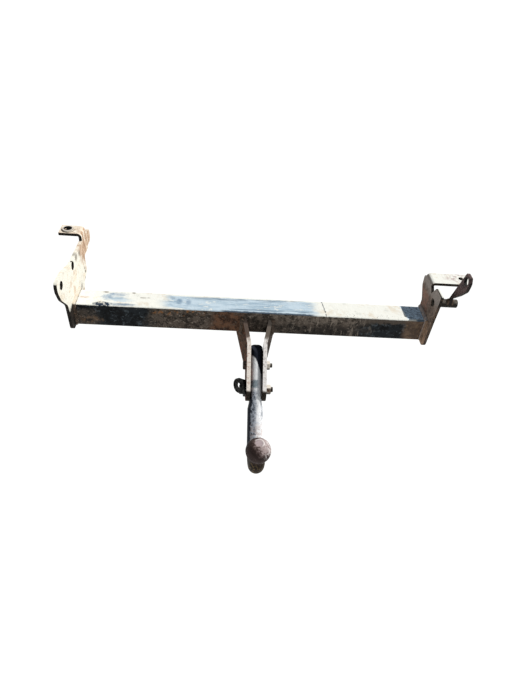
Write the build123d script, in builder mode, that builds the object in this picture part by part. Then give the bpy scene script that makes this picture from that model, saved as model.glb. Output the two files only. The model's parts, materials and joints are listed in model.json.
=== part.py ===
from build123d import *
from math import cos, radians, sin, tan
import os

# Trailer hitch: a square crossbar between two side plates that bolt to the vehicle,
# with a swan neck and a 50 mm ball bolted between two cheek plates.
# Millimetres. The origin is the centre of the ball, X runs along the crossbar,
# +Y points to the vehicle, -Y to the trailer, and +Z up.

BALL_D = 50
BALL_FLAT_D = 18
BALL_NECK_D = 28
BALL_FOOT = 5

BAR_SIZE = 51
BAR_WALL = 4
BAR_CORNER = 3
BAR_LENGTH = 712
BAR_X = -16
BAR_Y = 236
BAR_Z = 145.5

PLATE_T = 6
BEND_R = 2
FLANGE_FOOT = 60
LEFT_FLANGE_REACH = 45
RIGHT_FLANGE_REACH = 82
SIDE_HOLE_D = 17.5
LEFT_FLANGE_HOLE_D = 14
RIGHT_FLANGE_HOLE_D = 11
WASHER_D = 22
WASHER_T = 3

TUBE_D = 17
TUBE_BORE = 13
TUBE_RECESS = 1.5
TUBE_REACH = 49
LUG_REACH = 30

CHEEK_T = 8
CHEEK_END_R = 24
CHEEK_BEND = 56
CHEEK_LEAN = 18.5
# Two points inside the bar, (Y, Z) from its middle line, that the cheek's edges run to.
CHEEK_ROOT = ((-20, 17), (23, -24))
TONGUE_T = 25
TONGUE_W = 36
NECK_D = 32
NECK_SLOPE = 49
NECK_YAW = 2.3
ELBOW_R = 32
NECK_TAPER_LOW = 40
NECK_TAPER_HIGH = 24
TONGUE_CORNER = 11
TONGUE_REACH = 43
TONGUE_END_R = 9

# Where the lower bolt is, forward of and below the bar's middle line.
LOWER_BOLT_FORWARD = 102.4
LOWER_BOLT_DROP = 114.5
BOLT_PITCH = 50
UPPER_THREAD = 10
UPPER_FLATS = 16
UPPER_HEAD = 6.4
UPPER_NUT = 8.4
UPPER_TIP = 34
LOWER_THREAD = 12
LOWER_FLATS = 18
LOWER_HEAD = 7.5
LOWER_NUT = 10.8
LOWER_TIP = 36
BOLT_END_CHAMFER = 1
HOLE_CLEARANCE = 0.5

EYE_T = 5
EYE_W = 30
EYE_HOLE_D = 13
EYE_STRAIGHT = 14
EYE_ARM = 16.5
EYE_BEND = 42
EYE_BEND_R = 4
EYE_TURN = 19.5
EYE_PLAY = 0.3
EYE_FIT = 0.15

BEAD_R = 5
BEAD_TOP = 8
TUBE_BEAD_R = 4
WASHER_BEAD_R = 2

half_bar = BAR_SIZE / 2
left_face = BAR_X - BAR_LENGTH / 2
right_face = BAR_X + BAR_LENGTH / 2
slope = radians(NECK_SLOPE)
# Direction of the neck from the ball side up to the crossbar, and the direction square to it
# that points up and to the trailer, both as (Y, Z).
rise = (cos(slope), sin(slope))
front = (-sin(slope), cos(slope))
lower_bolt_y = BAR_Y - LOWER_BOLT_FORWARD
lower_bolt_z = BAR_Z - LOWER_BOLT_DROP
upper_bolt_y = lower_bolt_y + BOLT_PITCH * rise[0]
upper_bolt_z = lower_bolt_z + BOLT_PITCH * rise[1]
cheek_face = TONGUE_T / 2 + CHEEK_T
tube_end = right_face + TUBE_REACH
lug_face = right_face + LUG_REACH
# The neck and its cheeks are welded on a little askew: they are drawn square to the bar, and
# then turned about an upright line through the ball.
askew = Location((0, 0, 0), (0, 0, NECK_YAW))


def side_plane(x):
    """Upright plane across the crossbar at x, its origin on the bar's middle line."""
    return Plane(origin=(x, BAR_Y, BAR_Z), x_dir=(0, 1, 0), z_dir=(1, 0, 0))


def bolt_plane(x, y, z, to_left=False):
    """Plane square to a bolt that runs along the crossbar."""
    return Plane(origin=(x, y, z), x_dir=(0, 1, 0), z_dir=(-1 if to_left else 1, 0, 0))


def outline(points, rounding):
    """Flat outline through the points, with some of its corners rounded."""
    with BuildSketch() as shape:
        with BuildLine():
            Polyline(*points, close=True)
        make_face()
        for index, radius in rounding.items():
            corner = Vector(*points[index])
            nearest = shape.vertices().sort_by_distance(corner)[0]
            fillet(nearest, radius)
    return shape.sketch


def bent_flange(face_x, outward, y_front, y_back, z_foot, z_top, reach):
    """Plate that rises on face_x and bends outward into a level flange."""
    outer_r = BEND_R + PLATE_T
    sign = -1 if outward == "left" else 1
    turn_x = face_x + sign * outer_r
    back_x = face_x + sign * PLATE_T
    turn_z = z_top - outer_r
    diagonal = cos(radians(45))
    with BuildPart() as flange:
        with BuildSketch(Plane.XZ.offset(-y_front)):
            with BuildLine():
                Line((face_x, z_foot), (face_x, turn_z))
                ThreePointArc(
                    (face_x, turn_z),
                    (turn_x - sign * outer_r * diagonal, turn_z + outer_r * diagonal),
                    (turn_x, z_top),
                )
                Line((turn_x, z_top), (face_x + sign * reach, z_top))
                Line((face_x + sign * reach, z_top), (face_x + sign * reach, z_top - PLATE_T))
                Line((face_x + sign * reach, z_top - PLATE_T), (turn_x, z_top - PLATE_T))
                ThreePointArc(
                    (turn_x, z_top - PLATE_T),
                    (turn_x - sign * BEND_R * diagonal, turn_z + BEND_R * diagonal),
                    (back_x, turn_z),
                )
                Line((back_x, turn_z), (back_x, z_foot))
                Line((back_x, z_foot), (face_x, z_foot))
            make_face()
        extrude(amount=-(y_back - y_front))
    return flange.part


def hex_block(flats, thickness):
    """Hexagon standing on the XY plane, with the corners of both ends turned off."""
    corner_r = flats / 2 / cos(radians(30))
    drop = (corner_r - flats / 2) * tan(radians(30))
    with BuildPart() as block:
        with BuildSketch():
            RegularPolygon(radius=flats / 2, side_count=6, major_radius=False)
        extrude(amount=thickness)
        with BuildSketch(Plane.XZ):
            with BuildLine():
                Polyline(
                    (0, 0),
                    (flats / 2, 0),
                    (corner_r, drop),
                    (corner_r, thickness - drop),
                    (flats / 2, thickness),
                    (0, thickness),
                    close=True,
                )
            make_face()
        revolve(axis=Axis.Z, mode=Mode.INTERSECT)
    return block.part


def bead_along(points, radius):
    """Round weld bead along a line of points, before its neighbours are cut out of it."""
    with BuildPart() as bead:
        with BuildLine() as seam:
            Polyline(*points)
        start = Plane(origin=seam.line @ 0, z_dir=seam.line % 0)
        with BuildSketch(start):
            Circle(radius)
        sweep(path=seam.line, transition=Transition.ROUND)
        with Locations(points[0], points[-1]):
            Sphere(radius)
    return bead.part


# Crossbar: square hollow section with the side plates welded over its open ends.
with BuildPart() as crossbar:
    with BuildSketch(side_plane(left_face)):
        RectangleRounded(BAR_SIZE, BAR_SIZE, BAR_CORNER)
        Rectangle(BAR_SIZE - 2 * BAR_WALL, BAR_SIZE - 2 * BAR_WALL, mode=Mode.SUBTRACT)
    extrude(amount=BAR_LENGTH)
crossbar.part.label = "crossbar"

# Left side plate: a long plate with a bulge to the front, a tail to the back and a flange
# bent outward between them. Outline points are (Y, Z) from the bar's middle line.
left_outline = outline(
    [
        (-48, -24),
        (-52, 42),
        (-79, 72),
        (-90, 98),
        (-87, 116),
        (-46, 113),
        (2, 98),
        (128, 94),
        (156, 90),
        (156, 66),
        (97, 63),
        (97, 22),
        (68, 12),
        (60, -27),
    ],
    {0: 14, 1: 22, 2: 30, 3: 26, 4: 8, 5: 40, 6: 30, 8: 5, 9: 8, 10: 10, 11: 10, 12: 8, 13: 8},
)
left_flange_front = BAR_Y + 96
left_flange_back = BAR_Y + 128
left_flange_top = BAR_Z + 111
left_flange_hole = (left_face - 29, BAR_Y + 111)
left_holes = [(-66, 97), (13, 89)]

left_flange = bent_flange(
    left_face,
    "left",
    left_flange_front,
    left_flange_back,
    BAR_Z + FLANGE_FOOT,
    left_flange_top,
    LEFT_FLANGE_REACH,
)
with BuildPart() as left_side_plate:
    with BuildSketch(side_plane(left_face)):
        add(left_outline)
    extrude(amount=-PLATE_T)
    add(left_flange)
    with BuildSketch(side_plane(left_face)):
        with Locations(*left_holes):
            Circle(SIDE_HOLE_D / 2)
    extrude(amount=-PLATE_T, mode=Mode.SUBTRACT)
    with Locations((*left_flange_hole, left_flange_top)):
        Hole(LEFT_FLANGE_HOLE_D / 2, depth=PLATE_T)
left_side_plate.part.label = "left_side_plate"

# Right side plate: shorter, with a relief notch beside the flange that is bent outward.
right_outline = outline(
    [
        (-44, -29),
        (-45, 42),
        (-47, 82),
        (-47, 101),
        (-15, 100),
        (-1, 78),
        (10, 88),
        (48, 88),
        (57, 86),
        (53, 64),
        (32, 40),
        (32, -29),
    ],
    {0: 12, 1: 60, 2: 60, 3: 3, 4: 3, 8: 6, 9: 12, 10: 12, 11: 6},
)
right_flange_front = BAR_Y + 11
right_flange_back = BAR_Y + 48
right_flange_top = BAR_Z + 96
right_flange_hole = (right_face + 67, BAR_Y + 32)
right_hole = (-19.5, 69.5)

right_flange = bent_flange(
    right_face,
    "right",
    right_flange_front,
    right_flange_back,
    BAR_Z + FLANGE_FOOT,
    right_flange_top,
    RIGHT_FLANGE_REACH,
)
with BuildPart() as right_side_plate:
    with BuildSketch(side_plane(right_face)):
        add(right_outline)
    extrude(amount=PLATE_T)
    add(right_flange)
    with BuildSketch(side_plane(right_face)):
        with Locations(right_hole):
            Circle(TUBE_D / 2)
    extrude(amount=PLATE_T, mode=Mode.SUBTRACT)
    with Locations((*right_flange_hole, right_flange_top)):
        Hole(RIGHT_FLANGE_HOLE_D / 2, depth=PLATE_T)
right_side_plate.part.label = "right_side_plate"

# Spacer tube for the right side bolt: let into the plate's hole and welded on the outside.
with BuildPart() as right_spacer_tube:
    with BuildSketch(side_plane(right_face + TUBE_RECESS)):
        with Locations(right_hole):
            Circle(TUBE_D / 2)
            Circle(TUBE_BORE / 2, mode=Mode.SUBTRACT)
    extrude(amount=tube_end - right_face - TUBE_RECESS)
right_spacer_tube.part.label = "right_spacer_tube"

# Lug: a wedge of plate that stands on the spacer tube and carries a second bolt hole.
lug_outline = outline(
    [
        (-49, 160),
        (-66, 160),
        (-72, 150),
        (-70, 132),
        (-51, 110),
        (-26, 86),
        (-28, 71),
        (-14, 65.5),
    ],
    {1: 3, 2: 10, 3: 16, 4: 30},
)
lug_hole = (-57.5, 147)
with BuildPart() as right_lug:
    with BuildSketch(side_plane(lug_face)):
        add(lug_outline)
        with Locations(lug_hole):
            Circle(SIDE_HOLE_D / 2, mode=Mode.SUBTRACT)
        with Locations(right_hole):
            Circle(TUBE_D / 2, mode=Mode.SUBTRACT)
    extrude(amount=PLATE_T)
right_lug.part.label = "right_lug"

# Washer welded on top of the left flange.
with BuildPart() as left_flange_washer:
    with BuildSketch(Plane.XY.offset(left_flange_top)):
        with Locations(left_flange_hole):
            Circle(WASHER_D / 2)
            Circle(LEFT_FLANGE_HOLE_D / 2, mode=Mode.SUBTRACT)
    extrude(amount=WASHER_T)
left_flange_washer.part.label = "left_flange_washer"


def bar_blank():
    """Solid block the size of the crossbar, to cut from what is welded on the bar."""
    with BuildPart() as blank:
        with BuildSketch(side_plane(left_face)):
            RectangleRounded(BAR_SIZE, BAR_SIZE, BAR_CORNER)
        extrude(amount=BAR_LENGTH)
    return blank.part


def cheek_outer_x(y):
    """Distance of a leaning cheek's outer face from the neck's middle plane."""
    lean = radians(CHEEK_LEAN)
    return TONGUE_T / 2 + CHEEK_T / cos(lean) + (y - BAR_Y + CHEEK_BEND) * tan(lean)


def cheek(side):
    """Cheek plate: flat against the tongue, then leaning outward to meet the crossbar."""
    lean = radians(CHEEK_LEAN)
    bend_y = BAR_Y - CHEEK_BEND
    front_y = lower_bolt_y - 2 * CHEEK_END_R
    back_y = BAR_Y + BAR_SIZE
    inner_x = TONGUE_T / 2
    far_x = inner_x + (back_y - bend_y) * tan(lean)
    with BuildPart() as straight:
        with BuildSketch(Plane.XY):
            with BuildLine():
                Polyline(
                    (side * inner_x, front_y),
                    (side * inner_x, bend_y),
                    (side * far_x, back_y),
                    (side * cheek_outer_x(back_y), back_y),
                    (side * cheek_face, bend_y - CHEEK_T * tan(lean / 2)),
                    (side * cheek_face, front_y),
                    close=True,
                )
            make_face()
        extrude(amount=2 * BAR_Z)
        with BuildSketch(side_plane(0)):
            with BuildLine():
                CenterArc((lower_bolt_y - BAR_Y, lower_bolt_z - BAR_Z), CHEEK_END_R, 0, 360)
                Line(*CHEEK_ROOT)
            make_hull()
        extrude(amount=4 * BAR_SIZE, both=True, mode=Mode.INTERSECT)
        with Locations(bolt_plane(0, upper_bolt_y, upper_bolt_z)):
            Hole(UPPER_THREAD / 2 + HOLE_CLEARANCE)
        with Locations(bolt_plane(0, lower_bolt_y, lower_bolt_z)):
            Hole(LOWER_THREAD / 2 + HOLE_CLEARANCE)
    with BuildPart() as plate:
        add(straight.part.moved(askew))
        add(bar_blank(), mode=Mode.SUBTRACT)
    return plate.part


with BuildPart() as left_cheek_plate:
    add(cheek(-1))
left_cheek_plate.part.label = "left_cheek_plate"

with BuildPart() as right_cheek_plate:
    add(cheek(1))
right_cheek_plate.part.label = "right_cheek_plate"


def neck_plane(distance):
    """Plane square to the neck, at a distance from the lower bolt towards the crossbar."""
    return Plane(
        origin=(0, lower_bolt_y + distance * rise[0], lower_bolt_z + distance * rise[1]),
        x_dir=(1, 0, 0),
        z_dir=(0, *rise),
    )


# Swan neck: one forging of ball, elbow, round neck and flattened tongue.
# The elbow's centre is where its circle touches both the upright below the ball and the neck.
elbow_z = lower_bolt_z + (ELBOW_R + sin(slope) * (ELBOW_R - lower_bolt_y)) / cos(slope)
taper_start = neck_plane(-NECK_TAPER_LOW)
taper_end = neck_plane(-NECK_TAPER_HIGH)
tongue_end = neck_plane(BOLT_PITCH + TONGUE_REACH - TONGUE_W / 2)
# Plane along the tongue's broad face, its origin on the middle of the tip.
tongue_tip = Plane(
    origin=neck_plane(BOLT_PITCH + TONGUE_REACH).origin,
    x_dir=(1, 0, 0),
    z_dir=(0, *front),
)
ball_flat_z = ((BALL_D / 2) ** 2 - (BALL_FLAT_D / 2) ** 2) ** 0.5
ball_foot_z = BALL_FOOT - BALL_D / 2
with BuildPart() as straight_neck:
    with BuildLine(Plane.YZ) as neck_line:
        elbow = JernArc(
            start=(0, elbow_z),
            tangent=(0, -1),
            radius=ELBOW_R,
            arc_size=90 + NECK_SLOPE,
        )
        Line(elbow @ 1, (taper_start.origin.Y, taper_start.origin.Z))
    with BuildSketch(Plane.XY.offset(elbow_z)):
        Circle(NECK_D / 2)
    sweep(path=neck_line.line)
    with BuildSketch(taper_start):
        Circle(NECK_D / 2)
    with BuildSketch(taper_end):
        RectangleRounded(TONGUE_T, TONGUE_W, TONGUE_CORNER)
    loft()
    with BuildSketch(taper_end):
        RectangleRounded(TONGUE_T, TONGUE_W, TONGUE_CORNER)
    extrude(amount=NECK_TAPER_HIGH + BOLT_PITCH + TONGUE_REACH)
    with BuildSketch(bolt_plane(*tongue_end.origin)):
        Rectangle(TONGUE_W, TONGUE_W, rotation=NECK_SLOPE, align=(Align.MIN, Align.CENTER))
        Circle(TONGUE_W / 2, mode=Mode.SUBTRACT)
    extrude(amount=TONGUE_T, both=True, mode=Mode.SUBTRACT)
    with BuildSketch(tongue_tip):
        Rectangle(2 * TONGUE_T, TONGUE_T, align=(Align.CENTER, Align.MAX))
        RectangleRounded(
            TONGUE_T,
            2 * TONGUE_T,
            TONGUE_END_R,
            align=(Align.CENTER, Align.MAX),
            mode=Mode.SUBTRACT,
        )
    extrude(amount=TONGUE_W, both=True, mode=Mode.SUBTRACT)
    with BuildSketch(Plane.XY.offset(elbow_z)):
        Circle(NECK_D / 2)
    with BuildSketch(Plane.XY.offset(ball_foot_z)):
        Circle(BALL_NECK_D / 2)
    loft()
    with BuildSketch(Plane.XY.offset(ball_foot_z)):
        Circle(BALL_NECK_D / 2)
    extrude(amount=-ball_foot_z)
    with BuildSketch(Plane.XZ):
        Circle(BALL_D / 2)
        with Locations((0, ball_flat_z)):
            Rectangle(BALL_D, BALL_D, align=(Align.CENTER, Align.MIN), mode=Mode.SUBTRACT)
        Rectangle(BALL_D, BALL_D, align=(Align.MAX, Align.CENTER), mode=Mode.SUBTRACT)
    revolve(axis=Axis.Z)
    with Locations(bolt_plane(0, upper_bolt_y, upper_bolt_z)):
        Hole(UPPER_THREAD / 2 + HOLE_CLEARANCE)
    with Locations(bolt_plane(0, lower_bolt_y, lower_bolt_z)):
        Hole(LOWER_THREAD / 2 + HOLE_CLEARANCE)

with BuildPart() as swan_neck:
    add(straight_neck.part.moved(askew))
swan_neck.part.label = "swan_neck"


# Bolts through cheeks and tongue, heads to the left and nuts to the right.
def bolt(thread, flats, head, head_face, tip):
    """Hexagon bolt on the X axis, its head's bearing face at head_face."""
    with BuildPart() as screw:
        add(hex_block(flats, head).moved(bolt_plane(head_face, 0, 0, to_left=True).location))
        with Locations(bolt_plane(head_face, 0, 0)):
            Cylinder(
                thread / 2,
                tip - head_face,
                align=(Align.CENTER, Align.CENTER, Align.MIN),
            )
        chamfer(screw.edges().filter_by(GeomType.CIRCLE).sort_by(Axis.X)[-1], BOLT_END_CHAMFER)
    return screw.part


def nut(thread, flats, height):
    """Hexagon nut that stands on the right cheek, on the X axis."""
    with BuildPart() as block:
        add(hex_block(flats, height).moved(bolt_plane(cheek_face, 0, 0).location))
        with Locations(bolt_plane(cheek_face, 0, 0)):
            Hole(thread / 2)
    return block.part


upper_place = askew * Location((0, upper_bolt_y, upper_bolt_z))
lower_place = askew * Location((0, lower_bolt_y, lower_bolt_z))
with BuildPart() as upper_bolt:
    with Locations(upper_place):
        add(bolt(UPPER_THREAD, UPPER_FLATS, UPPER_HEAD, -cheek_face, UPPER_TIP))
upper_bolt.part.label = "upper_bolt"

with BuildPart() as upper_nut:
    with Locations(upper_place):
        add(nut(UPPER_THREAD, UPPER_FLATS, UPPER_NUT))
upper_nut.part.label = "upper_nut"

# The lower bolt's head stands off the cheek by the thickness of the eye and its play.
lower_head_face = -cheek_face - EYE_T - 2 * EYE_PLAY
with BuildPart() as lower_bolt:
    with Locations(lower_place):
        add(bolt(LOWER_THREAD, LOWER_FLATS, LOWER_HEAD, lower_head_face, LOWER_TIP))
lower_bolt.part.label = "lower_bolt"

with BuildPart() as lower_nut:
    with Locations(lower_place):
        add(nut(LOWER_THREAD, LOWER_FLATS, LOWER_NUT))
lower_nut.part.label = "lower_nut"

# Safety eye: a strap cranked outward, one end on the lower bolt and the other a ring.
# It is drawn lying on the XY plane with the bolt at the origin, then stood on the cheek.
bend_plane = Plane(origin=(EYE_STRAIGHT, 0, 0), x_dir=(0, 1, 0), z_dir=(1, 0, 0))
bend_axis = Axis((EYE_STRAIGHT, 0, EYE_T + EYE_BEND_R), (0, -1, 0))
arm_plane = Plane(
    origin=(
        EYE_STRAIGHT + (EYE_T + EYE_BEND_R) * sin(radians(EYE_BEND)),
        0,
        (EYE_T + EYE_BEND_R) * (1 - cos(radians(EYE_BEND))),
    ),
    x_dir=(cos(radians(EYE_BEND)), 0, sin(radians(EYE_BEND))),
    z_dir=(-sin(radians(EYE_BEND)), 0, cos(radians(EYE_BEND))),
)
with BuildPart() as flat_eye:
    with BuildSketch():
        Circle(EYE_W / 2)
        with Locations((EYE_STRAIGHT / 2, 0)):
            Rectangle(EYE_STRAIGHT, EYE_W)
        Circle((LOWER_THREAD + EYE_FIT) / 2, mode=Mode.SUBTRACT)
    extrude(amount=EYE_T)
    with BuildSketch(bend_plane):
        Rectangle(EYE_W, EYE_T, align=(Align.CENTER, Align.MIN))
    revolve(axis=bend_axis, revolution_arc=EYE_BEND)
    with BuildSketch(arm_plane):
        with Locations((EYE_ARM, 0)):
            Circle(EYE_W / 2)
        with Locations((EYE_ARM / 2, 0)):
            Rectangle(EYE_ARM, EYE_W)
        with Locations((EYE_ARM, 0)):
            Circle(EYE_HOLE_D / 2, mode=Mode.SUBTRACT)
    extrude(amount=EYE_T)

turn = slope + radians(90 - EYE_TURN)
eye_plane = Plane(
    origin=(-cheek_face - EYE_PLAY, lower_bolt_y, lower_bolt_z),
    x_dir=(0, cos(turn), sin(turn)),
    z_dir=(-1, 0, 0),
)
with BuildPart() as safety_eye:
    add(flat_eye.part.moved(askew * eye_plane.location))
safety_eye.part.label = "safety_eye"


# Weld beads. Each is a round bead with the pieces it joins taken out of it.
def side_weld(face_x):
    """Bead along the front, top and back of the bar's end, on the side plate's face."""
    with BuildPart() as weld:
        add(
            bead_along(
                [
                    (face_x, BAR_Y - half_bar, BAR_Z - half_bar + BEAD_R),
                    (face_x, BAR_Y - half_bar, BAR_Z + half_bar),
                    (face_x, BAR_Y + half_bar, BAR_Z + half_bar),
                    (face_x, BAR_Y + half_bar, BAR_Z - half_bar + BEAD_R),
                ],
                BEAD_R,
            )
        )
        add(bar_blank(), mode=Mode.SUBTRACT)
        with BuildSketch(side_plane(left_face)):
            Rectangle(2 * BAR_SIZE, 2 * BAR_SIZE)
        extrude(amount=BAR_LENGTH, mode=Mode.INTERSECT)
    return weld.part


def cheek_weld(side):
    """Bead along the outside of a cheek plate, down the bar's front and along its underside."""
    front_y = BAR_Y - half_bar
    back_y = BAR_Y + half_bar - BEAD_R
    with BuildPart() as weld:
        add(
            bead_along(
                [
                    (side * cheek_outer_x(front_y), front_y, BAR_Z + BEAD_TOP),
                    (side * cheek_outer_x(front_y), front_y, BAR_Z - half_bar),
                    (side * cheek_outer_x(back_y), back_y, BAR_Z - half_bar),
                ],
                BEAD_R,
            ).moved(askew)
        )
        add(bar_blank(), mode=Mode.SUBTRACT)
        add(cheek(side), mode=Mode.SUBTRACT)
    return weld.part


def ring_weld(x, y, z, radius, bead, axis_dir):
    """Bead round a cylinder."""
    with BuildPart() as weld:
        with Locations(Plane(origin=(x, y, z), z_dir=axis_dir)):
            Torus(radius, bead)
            Cylinder(radius, 4 * bead, mode=Mode.SUBTRACT)
            Cylinder(
                2 * radius,
                2 * bead,
                align=(Align.CENTER, Align.CENTER, Align.MAX),
                mode=Mode.SUBTRACT,
            )
    return weld.part


with BuildPart() as left_side_weld:
    add(side_weld(left_face))
left_side_weld.part.label = "left_side_weld"

with BuildPart() as right_side_weld:
    add(side_weld(right_face))
right_side_weld.part.label = "right_side_weld"

with BuildPart() as left_cheek_weld:
    add(cheek_weld(-1))
left_cheek_weld.part.label = "left_cheek_weld"

with BuildPart() as right_cheek_weld:
    add(cheek_weld(1))
right_cheek_weld.part.label = "right_cheek_weld"

tube_axis = (BAR_Y + right_hole[0], BAR_Z + right_hole[1])
with BuildPart() as tube_weld:
    add(ring_weld(right_face + PLATE_T, *tube_axis, TUBE_D / 2, TUBE_BEAD_R, (1, 0, 0)))
tube_weld.part.label = "tube_weld"

# Two short beads hold the lug on the tube, one on each of its faces.
with BuildPart() as lug_weld:
    add(ring_weld(lug_face, *tube_axis, TUBE_D / 2, TUBE_BEAD_R, (-1, 0, 0)))
    add(ring_weld(lug_face + PLATE_T, *tube_axis, TUBE_D / 2, TUBE_BEAD_R, (1, 0, 0)))
    with BuildSketch(side_plane(lug_face - 2 * TUBE_BEAD_R)):
        add(lug_outline)
    extrude(amount=PLATE_T + 4 * TUBE_BEAD_R, mode=Mode.INTERSECT)
lug_weld.part.label = "lug_weld"

with BuildPart() as washer_weld:
    add(ring_weld(*left_flange_hole, left_flange_top, WASHER_D / 2, WASHER_BEAD_R, (0, 0, 1)))
washer_weld.part.label = "washer_weld"

os.makedirs("parts", exist_ok=True)
pieces = [
    crossbar,
    left_side_plate,
    right_side_plate,
    left_cheek_plate,
    right_cheek_plate,
    swan_neck,
    upper_bolt,
    upper_nut,
    lower_bolt,
    lower_nut,
    safety_eye,
    left_flange_washer,
    right_spacer_tube,
    right_lug,
    left_side_weld,
    right_side_weld,
    left_cheek_weld,
    right_cheek_weld,
    tube_weld,
    lug_weld,
    washer_weld,
]
for piece in pieces:
    export_step(piece.part, f"parts/{piece.part.label}.step")
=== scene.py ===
import json
from math import cos, pi, radians, sin, tan

import bpy
from mathutils import Matrix, Vector


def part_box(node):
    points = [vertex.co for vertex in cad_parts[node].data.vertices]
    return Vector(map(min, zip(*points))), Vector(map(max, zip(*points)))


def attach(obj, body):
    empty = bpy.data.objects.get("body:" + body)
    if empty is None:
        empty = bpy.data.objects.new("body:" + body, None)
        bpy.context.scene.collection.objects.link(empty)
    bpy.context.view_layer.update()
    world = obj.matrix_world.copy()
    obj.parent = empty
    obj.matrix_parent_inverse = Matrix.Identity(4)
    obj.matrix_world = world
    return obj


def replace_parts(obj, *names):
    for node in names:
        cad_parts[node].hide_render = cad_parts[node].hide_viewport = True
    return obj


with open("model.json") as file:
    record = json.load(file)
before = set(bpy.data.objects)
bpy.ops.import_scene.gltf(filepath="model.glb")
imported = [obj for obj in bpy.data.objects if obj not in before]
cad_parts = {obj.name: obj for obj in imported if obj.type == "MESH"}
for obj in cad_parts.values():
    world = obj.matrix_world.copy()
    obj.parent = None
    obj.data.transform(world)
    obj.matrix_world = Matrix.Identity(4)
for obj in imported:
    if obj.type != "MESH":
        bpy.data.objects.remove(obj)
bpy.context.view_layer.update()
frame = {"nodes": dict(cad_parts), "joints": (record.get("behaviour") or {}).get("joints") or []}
nodes = frame["nodes"]

# Crossbar: a square steel tube in old black paint, rolled and then painted before it was welded.
# Its front is blue-black at both ends and brown with rust in the middle. Its top is pale with
# dried dust, wiped down to grey-blue paint in places.
bar_low, bar_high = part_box("crossbar")
BAR_Y = (bar_low.y + bar_high.y) / 2
BAR_Z = (bar_low.z + bar_high.z) / 2
BAR_HALF = (bar_high.z - bar_low.z) / 2

# Light that falls on each side or piece, as a share of the brightness of white.
ON_TOP = 1.36
ON_RIGHT = 1.20
ON_FRONT = 0.70
ON_LEFT = 0.70
ON_NECK = 0.84
ON_BALL = 0.95
ON_NUB = 1.00
ON_TUBE = 1.00
ON_SMALL = 0.80
ON_BOLT = 0.90
ON_NUT = 1.30
ON_BEAD = 1.50
IN_SHADOW = 0.24


def seen(red, green, blue, light):
    """Paint that looks like this colour, out of 255, where that much light falls on it."""
    linear = [((value / 255 + 0.055) / 1.055) ** 2.4 for value in (red, green, blue)]
    return (*[min(value / light, 0.95) for value in linear], 1.0)


class Wire:
    """A value in a node tree, written as ordinary arithmetic."""

    def __init__(self, owner, socket):
        self.owner = owner
        self.socket = socket

    def also(self, output):
        """Another output of the same node."""
        return Wire(self.owner, self.socket.node.outputs[output])

    def math(self, operation, first, second):
        """One Math node on two values."""
        return self.owner.node("ShaderNodeMath", {"operation": operation}, {0: first, 1: second})

    def __add__(self, other):
        return self.math("ADD", self, other)

    def __radd__(self, other):
        return self.math("ADD", other, self)

    def __sub__(self, other):
        return self.math("SUBTRACT", self, other)

    def __rsub__(self, other):
        return self.math("SUBTRACT", other, self)

    def __mul__(self, other):
        return self.math("MULTIPLY", self, other)

    def __rmul__(self, other):
        return self.math("MULTIPLY", other, self)

    def at_least(self, other):
        return self.math("MAXIMUM", self, other)

    def size(self):
        """The value without its sign."""
        return self.math("ABSOLUTE", self, 0.0)

    def above(self, low, high):
        """0 below low and 1 above high, with a smooth change between them."""
        settings = {"interpolation_type": "SMOOTHSTEP", "clamp": True}
        return self.owner.node("ShaderNodeMapRange", settings, {0: self, 1: low, 2: high})

    def below(self, low, high):
        """1 below low and 0 above high, with a smooth change between them."""
        return 1 - self.above(low, high)

    def between(self, low, high, soft):
        """1 between low and high, 0 outside them, with a change as wide as soft says."""
        return self.above(low - soft, low + soft) * self.below(high - soft, high + soft)


class Tree:
    """A node tree in which every node is added by one call."""

    def __init__(self, tree):
        self.tree = tree

    def node(self, kind, settings, inputs, output=0):
        """Adds a node of a type, with its settings and the values or links of its sockets."""
        made = self.tree.nodes.new(kind)
        for key, value in settings.items():
            setattr(made, key, value)
        for key, value in inputs.items():
            if isinstance(value, Wire):
                self.tree.links.new(value.socket, made.inputs[key])
            else:
                made.inputs[key].default_value = value
        return Wire(self, made.outputs[output]) if made.outputs else None


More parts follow.
